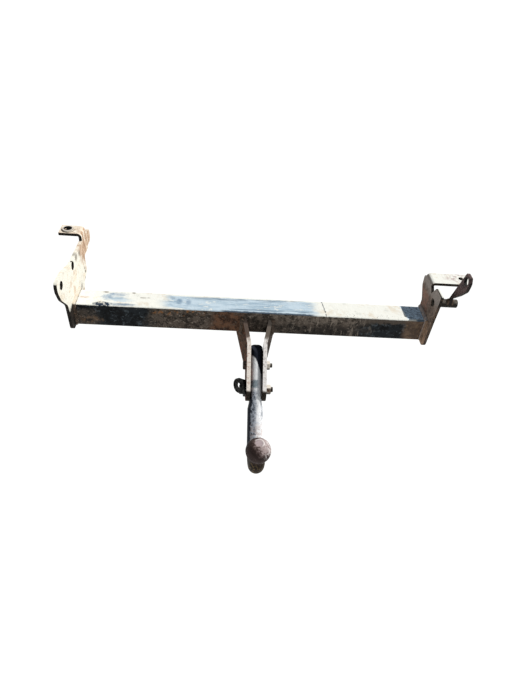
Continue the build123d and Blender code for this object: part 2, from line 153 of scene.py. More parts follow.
class Finish(Tree):
    """One material, built on Object coordinates in metres."""

    def __init__(self, name, gloss):
        self.material = bpy.data.materials.new(name)
        self.material.use_nodes = True
        super().__init__(self.material.node_tree)
        self.shader = self.tree.nodes["Principled BSDF"]
        self.shader.inputs["Specular IOR Level"].default_value = gloss
        self.place = self.node("ShaderNodeTexCoord", {}, {}, "Object")
        facing = self.node("ShaderNodeTexCoord", {}, {}, "Normal")
        self.x, self.y, self.z = self.parts(self.place)
        self.right, self.back, self.up = self.parts(facing)
        self.ragged = self.noise(130, 5, 0.6, (5, 3, 8)) - 0.5

    def parts(self, vector):
        """The three numbers of a vector."""
        first = self.node("ShaderNodeSeparateXYZ", {}, {0: vector})
        return first, first.also(1), first.also(2)

    def moved(self, shift, stretch):
        """Places on the part, stretched and then shifted."""
        inputs = {"Vector": self.place, "Location": shift, "Scale": stretch}
        return self.node("ShaderNodeMapping", {}, inputs)

    def noise(self, per_metre, detail=4.0, roughness=0.55, shift=(0, 0, 0), stretch=(1, 1, 1)):
        """Cloudy value about 0.5, with a number of clouds to the metre."""
        inputs = {"Scale": per_metre, "Detail": detail, "Roughness": roughness}
        return self.node(
            "ShaderNodeTexNoise", {}, {"Vector": self.moved(shift, stretch), **inputs}
        )

    def specks(self, per_metre, size, shift=(0, 0, 0), stretch=(1, 1, 1)):
        """1 on many scattered specks, 0 between them. Their size is a share of their spacing."""
        inputs = {"Vector": self.moved(shift, stretch), "Scale": per_metre}
        distance = self.node("ShaderNodeTexVoronoi", {}, inputs)
        return distance.below(size * 0.6, size)

    def blot(self, middle, radii, soft=0.3, uneven=0.9):
        """1 inside a ragged oval at a place on the part, 0 outside it."""
        scale = [1 / radius for radius in radii]
        shift = [-place / radius for place, radius in zip(middle, radii)]
        away = self.node(
            "ShaderNodeVectorMath", {"operation": "LENGTH"}, {0: self.moved(shift, scale)}, "Value"
        )
        return (away + self.ragged * uneven).below(1 - soft, 1 + soft)

    def mix(self, amount, first, second):
        """Colour that is first where amount is 0 and second where it is 1."""
        return self.node(
            "ShaderNodeMix", {"data_type": "RGBA"}, {0: amount, 6: first, 7: second}, 2
        )

    def mottle(self, dark, middle, light, coarse, shift=(0, 0, 0), stretch=(1, 1, 1)):
        """Three colours in clouds, broken up by finer and finer grain."""
        cloud = self.noise(coarse, 6, 0.72, shift, stretch)
        bloom = self.noise(coarse * 2.3, 5, 0.72, (shift[0] + 3, shift[1], shift[2]), stretch)
        grain = self.noise(coarse * 7, 3, 0.7, shift)
        colour = self.mix((cloud + (grain - 0.5) * 0.4).above(0.42, 0.56), dark, middle)
        return self.mix((bloom + (grain - 0.5) * 0.4).above(0.54, 0.66), colour, light)

    def done(self, colour, roughness, height, depth, metallic=0.0):
        """Sets the shader's sockets. Depth is the relief of the height, in metres."""
        bump = self.node("ShaderNodeBump", {}, {"Distance": depth, "Height": height}, "Normal")
        wired = {"Base Color": colour, "Roughness": roughness, "Metallic": metallic, "Normal": bump}
        for name, value in wired.items():
            if isinstance(value, Wire):
                self.tree.links.new(value.socket, self.shader.inputs[name])
            else:
                self.shader.inputs[name].default_value = value
        return self.material


def wear(node, material):
    """Gives a CAD node its finish."""
    slots = nodes[node].data.materials
    slots.clear()
    slots.append(material)


DUST = seen(255, 254, 246, ON_TOP)
DUST_TAN = seen(232, 216, 192, ON_TOP)
DUST_GREY = seen(226, 226, 218, ON_TOP)
WIPED = seen(168, 193, 211, ON_TOP)
WIPED_PALE = seen(206, 224, 237, ON_TOP)
WIPED_STREAK = seen(152, 176, 196, ON_TOP)
WIPED_BLUE = seen(142, 164, 188, ON_TOP)
WIPED_DEEP = seen(120, 142, 164, ON_TOP)
WIPED_DARK = seen(104, 126, 146, ON_TOP)
DRIP_BLUE = seen(140, 164, 186, ON_TOP)
DRIP_PALE = seen(154, 176, 196, ON_TOP)
DRIP_GREY = seen(150, 166, 182, ON_TOP)
SCUFF_GREY = seen(118, 106, 94, ON_TOP)
SCUFF_BROWN = seen(132, 116, 98, ON_TOP)
SCUFF_PINK = seen(206, 178, 160, ON_TOP)
BARE_BLUE = seen(40, 56, 76, ON_TOP)
SHADE_BLUE = seen(96, 109, 121, IN_SHADOW)
SHADE_DARK = seen(64, 73, 83, IN_SHADOW)
STAIN = seen(216, 184, 154, ON_RIGHT)
PAINT = seen(26, 30, 33, ON_FRONT)
PAINT_DEEP = seen(12, 13, 14, ON_FRONT)
PAINT_WORN = seen(64, 70, 74, ON_FRONT)
BROWN = seen(76, 67, 59, ON_FRONT)
BROWN_DARK = seen(36, 31, 26, ON_FRONT)
BROWN_LIGHT = seen(116, 106, 96, ON_FRONT)
RUST_RED = seen(94, 66, 48, ON_FRONT)
RUST_DEEP = seen(44, 27, 18, ON_FRONT)
RUST_ORANGE = seen(118, 80, 46, ON_FRONT)
END_TAN = seen(112, 88, 66, ON_FRONT)
END_DARK = seen(72, 58, 48, ON_FRONT)
END_BROWN = seen(96, 79, 65, ON_FRONT)
END_LIGHT = seen(110, 90, 68, ON_FRONT)

# Where the finish changes along the bar, in metres. A pair is where a change starts and ends.
# A third number means a stretch of the bar, and is how soft its ends are. One number alone is
# the place of a line across the bar. The two spots are given along it and up or back.
NEAR_END = (-0.345, -0.315)
RUBBED_CORNER = (-0.343, -0.010)
BROWN_STARTS = (-0.236, -0.208)
ORANGE_SPOTS = (-0.218, -0.118, 0.008)
RED_PATCH = (-0.103, -0.036, 0.010)
DARKER_LOW = (-0.02, 0.13)
BRIGHT_HIGH = (0.02, 0.205, 0.02)
SCRATCHED = (0.05, 0.225, 0.03)
BROWN_ENDS = (0.178, 0.236)
BROWN_HIGH = (0.19, 0.23)
FAR_END = (0.290, 0.306)
TOP_WIPED = (-0.196, 0.108, 0.014)
TOP_REAR_STREAK = (-0.14, 0.100, 0.02)
TOP_FRONT_STREAK = (-0.062, 0.1, 0.012)
TOP_BARE_RIM = (-0.082, 0.104, 0.008)
TOP_SCRATCH = 0.1282
TOP_FRECKLES = (0.13, 0.30, 0.01)
TOP_SHADOW_LINE = 0.2985
TOP_FLECKED = (-0.317, -0.0205)

# Wiped, dripped and scuffed places on the top: the middle along the bar and behind its middle
# line, half the length both ways, the colour, and how strongly it shows.
TOP_BLOTS = (
    ((-0.298, 0.004), (0.022, 0.011), WIPED, 0.9),
    ((-0.291, 0.015), (0.017, 0.005), WIPED_BLUE, 0.9),
    ((-0.311, 0.004), (0.012, 0.004), WIPED_BLUE, 0.9),
    ((-0.285, -0.019), (0.030, 0.004), WIPED_DEEP, 0.9),
    ((-0.278, -0.006), (0.020, 0.005), WIPED_PALE, 0.7),
    ((-0.168, 0.000), (0.0055, 0.009), DRIP_BLUE, 1.0),
    ((-0.150, -0.001), (0.0050, 0.008), DRIP_PALE, 0.9),
    ((-0.182, 0.011), (0.006, 0.003), DRIP_GREY, 0.8),
    ((-0.317, 0.020), (0.006, 0.0020), SCUFF_GREY, 0.9),
    ((-0.262, 0.021), (0.004, 0.0018), SCUFF_GREY, 0.9),
    ((-0.241, 0.006), (0.006, 0.0024), SCUFF_BROWN, 0.9),
    ((-0.230, 0.007), (0.003, 0.0015), SCUFF_BROWN, 0.8),
    ((-0.355, 0.000), (0.010, 0.0035), SCUFF_PINK, 0.7),
)


def bar_front(finish):
    """Front, back and underside: paint at the ends, rust along the middle."""
    x, high = finish.x, finish.z - BAR_Z
    paint = finish.mottle(PAINT_DEEP, PAINT, PAINT_WORN, 46, (0, 2, 0), (0.8, 1, 1))
    brown = finish.mottle(BROWN_DARK, BROWN, BROWN_LIGHT, 62, (1, 0, 4), (0.9, 1, 1))
    drift = (finish.noise(16, 5, 0.6, (2, 0, 0)) - 0.5) * 0.09
    inner = (x + drift).above(*BROWN_STARTS) * (x + drift).below(*BROWN_ENDS)
    low = (high + drift * 0.35).below(-0.012, 0.010) * x.above(*DARKER_LOW)
    colour = finish.mix(inner, paint, brown)
    colour = finish.mix(low * inner * 0.74, colour, PAINT_DEEP)
    scratched = finish.noise(110, 5, 0.75, (6, 1, 0), (1, 1, 0.3)).above(0.55, 0.62)
    colour = finish.mix(scratched * x.between(*SCRATCHED) * 0.7, colour, BROWN_LIGHT)
    bright = high.above(-0.002, 0.014) * x.between(*BRIGHT_HIGH)
    colour = finish.mix(bright * finish.ragged.above(-0.08, 0.10) * 0.55, colour, BROWN_LIGHT)
    upper = (high + finish.ragged * 0.02).above(0.010, 0.017) * x.above(*BROWN_HIGH)
    colour = finish.mix(upper * 0.8, colour, BROWN)
    red = (x + drift * 0.4).between(*RED_PATCH)
    swirl = finish.mottle(RUST_DEEP, RUST_RED, BROWN, 62, (9, 4, 1))
    colour = finish.mix(red * 0.92, colour, swirl)
    along_top = (high + finish.ragged * 0.03).above(0.006, 0.016)
    spots = finish.noise(85, 4, 0.65, (4, 4, 1)).above(0.53, 0.60) * along_top
    colour = finish.mix(spots * x.between(*ORANGE_SPOTS) * 0.85, colour, RUST_ORANGE)
    corner_middle = (RUBBED_CORNER[0], BAR_Y - BAR_HALF, BAR_Z + RUBBED_CORNER[1])
    corner = finish.blot(corner_middle, (0.022, 0.02, 0.009), 0.5, 1.6)
    rubbed = finish.noise(95, 5, 0.7, (7, 0, 2)).above(0.42, 0.58)
    near_end = (x + drift * 0.35).below(*NEAR_END) * high.below(0.008, 0.020)
    colour = finish.mix(near_end * 0.7, colour, brown)
    colour = finish.mix(corner * rubbed * 0.5, colour, END_TAN)
    far_end = (x + drift * 0.2).above(*FAR_END)
    glow = finish.mottle(END_DARK, END_BROWN, END_LIGHT, 60)
    return finish.mix(far_end * 0.9, colour, glow)


def bar_top(finish):
    """Top: pale dust with wiped, streaked and spotted places, seen from the trailer's side."""
    x, back = finish.x, finish.y - BAR_Y
    top = BAR_Z + BAR_HALF
    dusting = finish.noise(34, 6, 0.72)
    dust = finish.mix(dusting.above(0.52, 0.66) * 0.55, DUST, DUST_TAN)
    dust = finish.mix(finish.noise(60, 5, 0.7, (0, 4, 4)).above(0.56, 0.66) * 0.6, dust, DUST_GREY)
    dust = finish.mix(finish.specks(120, 0.13, (2, 2, 0)) * dusting.above(0.5, 0.6), dust, STAIN)
    streak = finish.noise(85, 6, 0.68, (0, 2, 5), (0.12, 1.3, 1))
    smear = finish.noise(120, 5, 0.7, (3, 1, 5), (0.35, 1.2, 1))
    wiped = finish.mix((streak * 0.6 + smear * 0.4).above(0.44, 0.58), WIPED_PALE, WIPED)
    wiped = finish.mix(streak.above(0.55, 0.62) * 0.7, wiped, WIPED_STREAK)
    wiped = finish.mix(smear.above(0.60, 0.65) * 0.9, wiped, DUST)
    edge = (finish.noise(24, 4, 0.6, (3, 3, 3), (0.5, 1, 1)) - 0.5) * 0.06
    slanted = (back + (x - TOP_WIPED[0]) * 0.16).above(-0.022, -0.015)
    wiped_place = (x + edge).between(*TOP_WIPED) * (back + edge * 0.5).below(0.016, 0.021)
    wiped_place = wiped_place * slanted.at_least(x.above(-0.15, -0.11))
    colour = finish.mix(wiped_place * 0.95, dust, wiped)
    rear = (back + edge * 0.3).between(0.012, 0.0195, 0.003) * x.between(*TOP_REAR_STREAK)
    colour = finish.mix(rear * streak.above(0.38, 0.54) * 0.75, colour, WIPED_DARK)
    front = (back + edge * 0.2).between(-0.0175, -0.0135, 0.0016) * x.between(*TOP_FRONT_STREAK)
    colour = finish.mix(front * streak.above(0.38, 0.50) * 0.75, colour, WIPED_DARK)
    rim = (back + finish.ragged * 0.006).below(-0.0225, -0.0205) * x.between(*TOP_BARE_RIM)
    colour = finish.mix(rim * 0.85, colour, BARE_BLUE)
    crumple = finish.noise(170, 5, 0.72, (1, 8, 2))
    rubbed = smear.above(0.38, 0.56)
    for (middle_x, middle_back), (half_x, half_back), shade, strength in TOP_BLOTS:
        middle = (middle_x, BAR_Y + middle_back, top)
        oval = finish.blot(middle, (half_x, half_back, 0.01), 0.45, 1.3)
        colour = finish.mix(oval * rubbed.at_least(0.45) * strength, colour, shade)
    flecked_middle = (TOP_FLECKED[0], BAR_Y + TOP_FLECKED[1], top)
    flecked = finish.blot(flecked_middle, (0.017, 0.0075, 0.01), 0.3, 0.8)
    colour = finish.mix(flecked * crumple.below(0.50, 0.58), colour, BARE_BLUE)
    scratch = (x + back * 0.10 - TOP_SCRATCH + finish.ragged * 0.004).size().below(0.0006, 0.0014)
    colour = finish.mix(scratch * crumple.above(0.40, 0.48) * 0.85, colour, BARE_BLUE)
    by_edge = x.between(*TOP_FRECKLES) * back.below(-0.016, -0.008)
    freckles = finish.noise(300, 3, 0.7, (5, 2, 0)).above(0.60, 0.66)
    colour = finish.mix(freckles * by_edge * 0.8, colour, BROWN)
    # Past the plate's shadow line the top is painted as shade: the front strip dark, the rest
    # blue-grey in the plate's shadow.
    strip = back.below(-0.0235, -0.0185)
    colour = finish.mix(strip * x.above(0.316, 0.322), colour, WIPED_DARK)
    painted_for_shade = (x - TOP_SHADOW_LINE + back * 0.16).above(-0.004, 0.002) * (1 - strip)
    blue = finish.mix(crumple.above(0.44, 0.58), SHADE_BLUE, SHADE_DARK)
    return finish.mix(painted_for_shade, colour, blue)


bar = Finish("bar_paint", 0.08)
bar_is_top = (bar.up + bar.ragged * 0.5).above(0.42, 0.60)
bar_colour = bar.mix(bar_is_top, bar_front(bar), bar_top(bar))
# Faces turned down are painted darker, as painted shade under the bar.
bar_colour = bar.mix(bar.up.below(-0.8, -0.5) * 0.7, bar_colour, PAINT_DEEP)
bar_relief = bar.noise(70, 6, 0.70) + bar.noise(300, 4, 0.7) * 0.5
bar_gloss = 0.70 - bar.noise(50, 3).above(0.5, 0.7) * 0.15 + bar_is_top * 0.12
wear("crossbar", bar.done(bar_colour, bar_gloss, bar_relief, 0.0014))


# Left side plate: 6 mm plate, flame-cut, with two bolt holes and a flange bent outward.
# Its inner face and flange look to the sun and are pale with dust, stained tan at the back.
# Its cut edges are dark brown, and the part in front of the bar is painted dark brown as the bar's
# shadow.
PALE = seen(252, 248, 234, ON_RIGHT)
PALE_PINK = seen(246, 230, 206, ON_RIGHT)
STAIN_DARK = seen(160, 122, 94, ON_RIGHT)
STAIN_GREY = seen(150, 142, 130, ON_RIGHT)
EDGE_DARK = seen(44, 38, 33, ON_FRONT)
EDGE_DEEP = seen(20, 18, 16, ON_FRONT)
EDGE_MIDDLE = seen(36, 31, 27, ON_FRONT)
EDGE_BROWN = seen(84, 70, 58, ON_FRONT)

left_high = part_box("left_side_plate")[1]
# Places on the plate are measured back from the bar's middle line and up from it.
LEFT_HOLES = ((-0.066, 0.097), (0.013, 0.089))
BORE_MASK = 0.0090
TAIL_STARTS = (0.096, 0.120)
IN_FRONT_OF_BAR = (-0.0235, -0.0185)
# Stained and chipped spots: how far back and up, their radius, colour and strength.
LEFT_SPOTS = (
    (0.041, 0.091, 0.0080, STAIN_GREY, 0.85),
    (0.064, 0.086, 0.0060, STAIN_GREY, 0.8),
    (0.014, 0.073, 0.0050, STAIN, 0.6),
    (0.001, 0.040, 0.0080, STAIN, 0.65),
    (0.047, 0.018, 0.0060, STAIN_GREY, 0.7),
    (0.055, 0.002, 0.0060, STAIN_DARK, 0.7),
    (-0.015, 0.065, 0.0070, STAIN, 0.5),
    (-0.010, 0.020, 0.0110, STAIN, 0.5),
    (0.011, -0.003, 0.0080, STAIN, 0.55),
    (0.086, 0.029, 0.0032, EDGE_DARK, 0.9),
    (0.080, 0.016, 0.0028, EDGE_DARK, 0.9),
    (0.084, 0.038, 0.0026, EDGE_DARK, 0.8),
)


def left_plate_finish():
    finish = Finish("left_plate_finish", 0.1)
    back, high = finish.y - BAR_Y, finish.z - BAR_Z
    dark = finish.mottle(EDGE_DEEP, EDGE_MIDDLE, EDGE_DARK, 60)
    cloud = finish.noise(30, 6, 0.7, (2, 2, 2))
    pale = finish.mix(cloud.above(0.52, 0.62) * 0.7, PALE, PALE_PINK)
    blotch = finish.noise(75, 5, 0.72, (4, 2, 0)).above(0.57, 0.66)
    pale = finish.mix(blotch * 0.55, pale, STAIN)
    grimy = finish.noise(140, 6, 0.75, (7, 3, 1)).above(0.53, 0.62)
    pale = finish.mix(grimy * cloud.above(0.40, 0.55) * 0.35, pale, STAIN_GREY)
    streak = finish.noise(80, 5, 0.7, (1, 0, 3), (1, 1.3, 0.45))
    tail = (back + high * 0.5 + finish.ragged * 0.04).above(*TAIL_STARTS)
    tail = tail * (1 - finish.up.above(0.6, 0.9) * 0.45)
    pale = finish.mix(tail * streak.above(0.36, 0.48) * 0.9, pale, STAIN)
    pale = finish.mix(tail * streak.above(0.51, 0.57) * 0.7, pale, STAIN_DARK)
    for spot_back, spot_high, radius, shade, strength in LEFT_SPOTS:
        middle = (left_high.x, BAR_Y + spot_back, BAR_Z + spot_high)
        spot = finish.blot(middle, (0.02, radius, radius), 0.5, 0.9)
        pale = finish.mix(spot * strength, pale, shade)
    pale = finish.mix(finish.specks(150, 0.17, (3, 3, 3)) * blotch.at_least(0.3), pale, STAIN_DARK)
    inner_face = finish.right.above(0.5, 0.75)
    looks_up = (finish.up + finish.ragged * 0.3).above(0.45, 0.65)
    # The part in front of the bar, below its top, is painted dark as the bar's shadow on it.
    in_front = (back + finish.ragged * 0.006).below(*IN_FRONT_OF_BAR)
    in_front = in_front * (high + finish.ragged * 0.02).below(0.022, 0.032)
    wall = finish.right.size().below(0.5, 0.8)
    bores = []
    for hole_back, hole_high in LEFT_HOLES:
        hole = (left_high.x, BAR_Y + hole_back, BAR_Z + hole_high)
        bores.append(finish.blot(hole, (0.02, BORE_MASK, BORE_MASK), 0.01, 0.0))
    bore = bores[0].at_least(bores[1]) * wall
    rim = finish.z.above(left_high.z - 0.0030, left_high.z - 0.0020)
    is_pale = inner_face.at_least(looks_up).at_least(rim) * (1 - in_front) * (1 - bore)
    # The top of each bore faces down into shade and is painted pale, as painted light.
    is_pale = is_pale.at_least(bore * finish.up.below(-0.60, -0.35))
    colour = finish.mix(is_pale, dark, pale)
    relief = finish.noise(55, 6, 0.68) + finish.noise(260, 4, 0.7) * 0.5
    return finish.done(colour, 0.80, relief, 0.0012)


wear("left_side_plate", left_plate_finish())


# Flange washer: a pressed steel ring, welded down round the flange's hole. Its face is as dusty
# as the flange, its rim painted grey as the shade on its side, and its bore and inner edge painted
# black as shade round the hole.
WASHER_DIM = seen(222, 208, 194, ON_TOP)
WASHER_PALE = seen(246, 236, 224, ON_TOP)
WASHER_LIGHT = seen(255, 250, 240, ON_TOP)
WASHER_RIM = seen(120, 112, 106, ON_SMALL)
HOLE_SHADE_RADIUS = 0.0086

washer_low, washer_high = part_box("left_flange_washer")
washer_middle = (washer_low + washer_high) / 2
washer = Finish("washer_finish", 0.2)
washer_colour = washer.mottle(WASHER_DIM, WASHER_PALE, WASHER_LIGHT, 150)
# Faces that do not look up are painted grey, as painted shade on the washer's side.
washer_colour = washer.mix(washer.up.below(0.3, 0.7), washer_colour, WASHER_RIM)
# A ring round the hole is painted black, as painted shade round the hole.
hole_shade_ring = washer.blot(washer_middle, (HOLE_SHADE_RADIUS, HOLE_SHADE_RADIUS, 0.02), 0.06, 0.2)
washer_colour = washer.mix(hole_shade_ring, washer_colour, EDGE_DEEP)
wear("left_flange_washer", washer.done(washer_colour, 0.7, washer.noise(260, 4, 0.6), 0.0004))


# Right side plate: 6 mm plate with a flange bent outward. Its inner face is turned away from
# the sun: brown old paint, greyer at the top, redder along the middle, orange by the bar.
# The top of the flange is pale with dust like the bar.
RIGHT_BROWN = seen(104, 90, 80, ON_LEFT)
RIGHT_DARK = seen(78, 66, 58, ON_LEFT)
RIGHT_LIGHT = seen(128, 112, 102, ON_LEFT)
RIGHT_GREY = seen(128, 120, 114, ON_LEFT)
RIGHT_RED = seen(118, 84, 70, ON_LEFT)
RIGHT_ORANGE = seen(136, 110, 90, ON_LEFT)
MOTTLE_PINK = seen(196, 174, 172, ON_TOP)
WORN_DARK = seen(58, 47, 40, ON_FRONT)
WORN_BROWN = seen(86, 71, 60, ON_FRONT)
WORN_LIGHT = seen(108, 88, 70, ON_FRONT)
OUTER_DARK = seen(44, 38, 34, ON_RIGHT)
OUTER_BROWN = seen(74, 62, 54, ON_RIGHT)
OUTER_RUST = seen(108, 86, 68, ON_RIGHT)

right_low, right_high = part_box("right_side_plate")
# Heights above the bar's middle line at which the inner face changes colour.
GREY_STARTS = (0.064, 0.084)
RED_BAND = (0.030, 0.066, 0.008)
ORANGE_ENDS = (0.010, 0.034)
FLANGE_STARTS = (0.088, 0.092)
PINK_SPOT = (right_low.x + 0.058, BAR_Y + 0.036, right_high.z)


def right_plate_finish():
    finish = Finish("right_plate_finish", 0.1)
    back, high = finish.y - BAR_Y, finish.z - BAR_Z
    colour = finish.mottle(RIGHT_DARK, RIGHT_BROWN, RIGHT_LIGHT, 70, (4, 0, 0))
    grain = finish.noise(90, 5, 0.7, (6, 6, 1))
    top = (high + finish.ragged * 0.03).above(*GREY_STARTS)
    colour = finish.mix(top * 0.8, colour, RIGHT_GREY)
    middle = (high + finish.ragged * 0.04).between(*RED_BAND)
    middle = middle * back.above(-0.014, 0.002) * grain.above(0.42, 0.56)
    colour = finish.mix(middle * 0.75, colour, RIGHT_RED)
    low = high.below(*ORANGE_ENDS) * grain.above(0.34, 0.5)
    colour = finish.mix(low * 0.9, colour, RIGHT_ORANGE)
    edge = finish.mottle(EDGE_DEEP, EDGE_DARK, EDGE_BROWN, 80, (0, 5, 0))
    worn_edge = finish.mottle(WORN_DARK, WORN_BROWN, WORN_LIGHT, 70)
    by_face = finish.x.below(right_low.x + 0.0042, right_low.x + 0.0052) * high.below(0.070, 0.080)
    edge = finish.mix(by_face, edge, worn_edge)
    colour = finish.mix(finish.right.size().below(0.5, 0.8), colour, edge)
    sunny = finish.mottle(OUTER_DARK, OUTER_BROWN, OUTER_RUST, 55)
    colour = finish.mix(finish.right.above(0.3, 0.6), colour, sunny)
    dust = finish.mix(finish.noise(70, 5, 0.7).above(0.52, 0.64) * 0.6, DUST, DUST_TAN)
    pink = finish.blot(PINK_SPOT, (0.028, 0.014, 0.02), 0.5)
    pink = pink * finish.noise(150, 5, 0.7, (1, 1, 1)).above(0.47, 0.56)
    dust = finish.mix(pink * 0.85, dust, MOTTLE_PINK)
    looks_up = (finish.up + finish.ragged * 0.3).above(0.62, 0.82) * high.above(*FLANGE_STARTS)
    on_flange = finish.x.above(right_low.x + 0.0015, right_low.x + 0.004)
    colour = finish.mix(looks_up * on_flange, colour, dust)
    relief = finish.noise(60, 6, 0.68) + finish.noise(260, 4, 0.7) * 0.5
    return finish.done(colour, 0.76, relief, 0.0010)


wear("right_side_plate", right_plate_finish())


# Spacer tube and lug on the right plate: a length of thick pipe let into the plate, and a wedge
# of plate, cut by hand, that is welded on it. The lug is in brown-purple old primer and the tube
# in grey-brown, and both are darkest on their cut edges. Faces turned down are painted near-black
# as shade.
def primer_finish(name, dark, middle, light, bore_middle, bore_radii):
    """Old primer, with a black bore. The bore's middle and radii are in metres."""
    finish = Finish(name, 0.15)
    colour = finish.mottle(dark, middle, light, 90, (2, 1, 0))
    wall = finish.right.size().below(0.5, 0.8)
    bore = finish.blot(bore_middle, bore_radii, 0.05, 0.0)
    colour = finish.mix(bore * wall, colour, EDGE_DEEP)
    cut_edge = (0 - finish.back - finish.up * 0.6).above(0.3, 0.8)
    colour = finish.mix(cut_edge * 0.85, colour, EDGE_DEEP)
    colour = finish.mix(finish.right.above(0.3, 0.7) * 0.75, colour, EDGE_DEEP)
    # Faces turned down are painted near-black, as painted shade.
    colour = finish.mix(finish.up.below(-0.6, -0.2) * 0.85, colour, EDGE_DEEP)
    relief = finish.noise(80, 6, 0.68) + finish.noise(320, 4, 0.7) * 0.4
    return finish.done(colour, 0.6 + finish.noise(90, 3) * 0.25, relief, 0.0009)


tube_low, tube_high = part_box("right_spacer_tube")
tube_middle = (tube_low + tube_high) / 2
tube_finish = primer_finish(
    "spacer_tube_finish",
    dark=seen(60, 55, 50, ON_TUBE),
    middle=seen(92, 85, 77, ON_TUBE),
    light=seen(134, 126, 116, ON_TUBE),
    bore_middle=tube_middle,
    bore_radii=(0.04, 0.0068, 0.0068),
)
wear("right_spacer_tube", tube_finish)

LUG_HOLE = (-0.0575, 0.147)
lug_low, lug_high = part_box("right_lug")
lug_finish = primer_finish(
    "lug_finish",
    dark=seen(46, 37, 36, ON_LEFT),
    middle=seen(78, 62, 60, ON_LEFT),
    light=seen(100, 80, 78, ON_LEFT),
    bore_middle=((lug_low.x + lug_high.x) / 2, BAR_Y + LUG_HOLE[0], BAR_Z + LUG_HOLE[1]),
    bore_radii=(0.02, 0.0095, 0.0095),
)
wear("right_lug", lug_finish)


# Cheek plates: 8 mm plate, bent to lean out to the bar. Their outer sides are brown with long
# red streaks, their front edges pale with dust below a band painted dark as the bar's shadow,
# and their rounded lower ends dark.
hinge = Vector(frame["joints"][0]["pos_m"])
NECK_SLOPE = radians(49)
NECK_YAW = radians(2.3)
RISE = (cos(NECK_SLOPE), sin(NECK_SLOPE))
CHEEK_SHADOW_STARTS = (0.122, 0.132)
DARK_END_STARTS = (-0.006, -0.001)


def up_the_neck(finish):
    """Distance up the neck from the lower bolt, in metres."""
    return (finish.y - hinge.y) * RISE[0] + (finish.z - hinge.z) * RISE[1]


def cheek_finish(name, dark, brown, streak, bar_shadow_tone, dust, dust_dim):
    """Brown sides with long streaks, and a dusty front edge, painted dark at its top as the bar's
    shadow.
    """
    finish = Finish(name, 0.1)
    along = up_the_neck(finish)
    colour = finish.mottle(dark, brown, streak, 75, (1, 5, 0))
    long = finish.noise(70, 5, 0.7, (3, 0, 0), (1, 0.5, 0.35)).above(0.48, 0.57)
    colour = finish.mix(long * 0.85, colour, streak)
    pale = finish.mix(finish.noise(170, 5, 0.72).above(0.50, 0.60) * 0.75, dust, dust_dim)
    pale = finish.mix(finish.specks(190, 0.2) * 0.65, pale, STAIN_DARK)
    cap = finish.mottle(EDGE_DEEP, EDGE_DARK, EDGE_BROWN, 110, (7, 0, 0))
    # The front edge near the bar is painted dark, as the bar's shadow on it.
    under_bar_shadow = (finish.z + finish.ragged * 0.02).above(*CHEEK_SHADOW_STARTS)
    pale = finish.mix(under_bar_shadow, pale, bar_shadow_tone)
    low_end = (along + finish.ragged * 0.008).below(*DARK_END_STARTS)
    pale = finish.mix(low_end, pale, cap)
    colour = finish.mix((0 - finish.back).above(0.55, 0.70), colour, pale)
    is_end = along.below(-0.004, 0.001) * finish.right.size().below(0.5, 0.8)
    colour = finish.mix(is_end, colour, cap)
    # Faces turned down are painted darker, as painted shade.
    colour = finish.mix(finish.up.below(-0.6, -0.3), colour, EDGE_DARK)
    relief = finish.noise(75, 6, 0.7, stretch=(1, 0.7, 0.7)) + finish.noise(320, 4, 0.7) * 0.5
    return finish.done(colour, 0.80, relief, 0.0012)


left_cheek_finish = cheek_finish(
    "left_cheek_finish",
    dark=seen(34, 23, 15, ON_LEFT),
    brown=seen(72, 52, 36, ON_LEFT),
    streak=seen(92, 52, 32, ON_LEFT),
    bar_shadow_tone=seen(92, 78, 70, ON_NECK),
    dust=(0.93, 0.84, 0.76, 1.0),
    dust_dim=seen(184, 156, 140, ON_NECK),
)
right_cheek_finish = cheek_finish(
    "right_cheek_finish",
    dark=seen(40, 33, 28, ON_RIGHT),
    brown=seen(72, 60, 52, ON_RIGHT),
    streak=seen(88, 70, 58, ON_RIGHT),
    bar_shadow_tone=seen(104, 94, 86, ON_NECK),
    dust=(0.92, 0.87, 0.84, 1.0),
    dust_dim=seen(160, 152, 148, ON_NECK),
)
wear("left_cheek_plate", left_cheek_finish)
wear("right_cheek_plate", right_cheek_finish)


# Swan neck: one forging. The round neck is painted bright on its right as the sun's highlight
# and mottled blue-grey on its left, darker there as painted shade. The tongue is painted
# near-white as sunlight, blue-black on its end as the shadow of the bar and the right cheek, and
# blue-black on its sides as shade between the cheeks. The ball is brown-mauve with rust, brighter
# where a coupling has rubbed its top, with painted light, shade and highlights on its sides.
SILVER = (0.93, 0.93, 0.94, 1.0)
SILVER_DIM = seen(176, 180, 188, ON_NECK)
SILVER_BLUE = seen(114, 121, 132, ON_NECK)
NIGHT_BLUE = seen(24, 28, 38, ON_NECK)
NECK_DARK = seen(38, 41, 48, ON_NECK)
NECK_PINK = seen(184, 168, 163, ON_NECK)
TEAL = seen(96, 114, 123, ON_NECK)
MAUVE = seen(92, 76, 73, ON_BALL)
MAUVE_DARK = seen(48, 36, 33, ON_BALL)
MAUVE_LIGHT = seen(186, 168, 166, ON_TOP)
BALL_TOP = seen(184, 168, 172, ON_TOP)
BALL_HIGHLIGHT = seen(240, 232, 230, ON_TOP)
NUB = seen(34, 25, 17, ON_NUB)
NUB_TAN = seen(112, 92, 62, ON_NUB)
RIDGE_TAN = seen(140, 116, 92, ON_NUB)
TONGUE_FACE = seen(244, 242, 240, ON_NECK)

# Distances up the neck from the lower bolt, in metres, at which its finish changes.
TONGUE_STARTS = (-0.006, 0.006)
TEAL_BAND = (0.005, 0.0215, 0.002)
SHADOW_STARTS = (0.067, 0.072)
PINK_ENDS = (-0.085, -0.050)
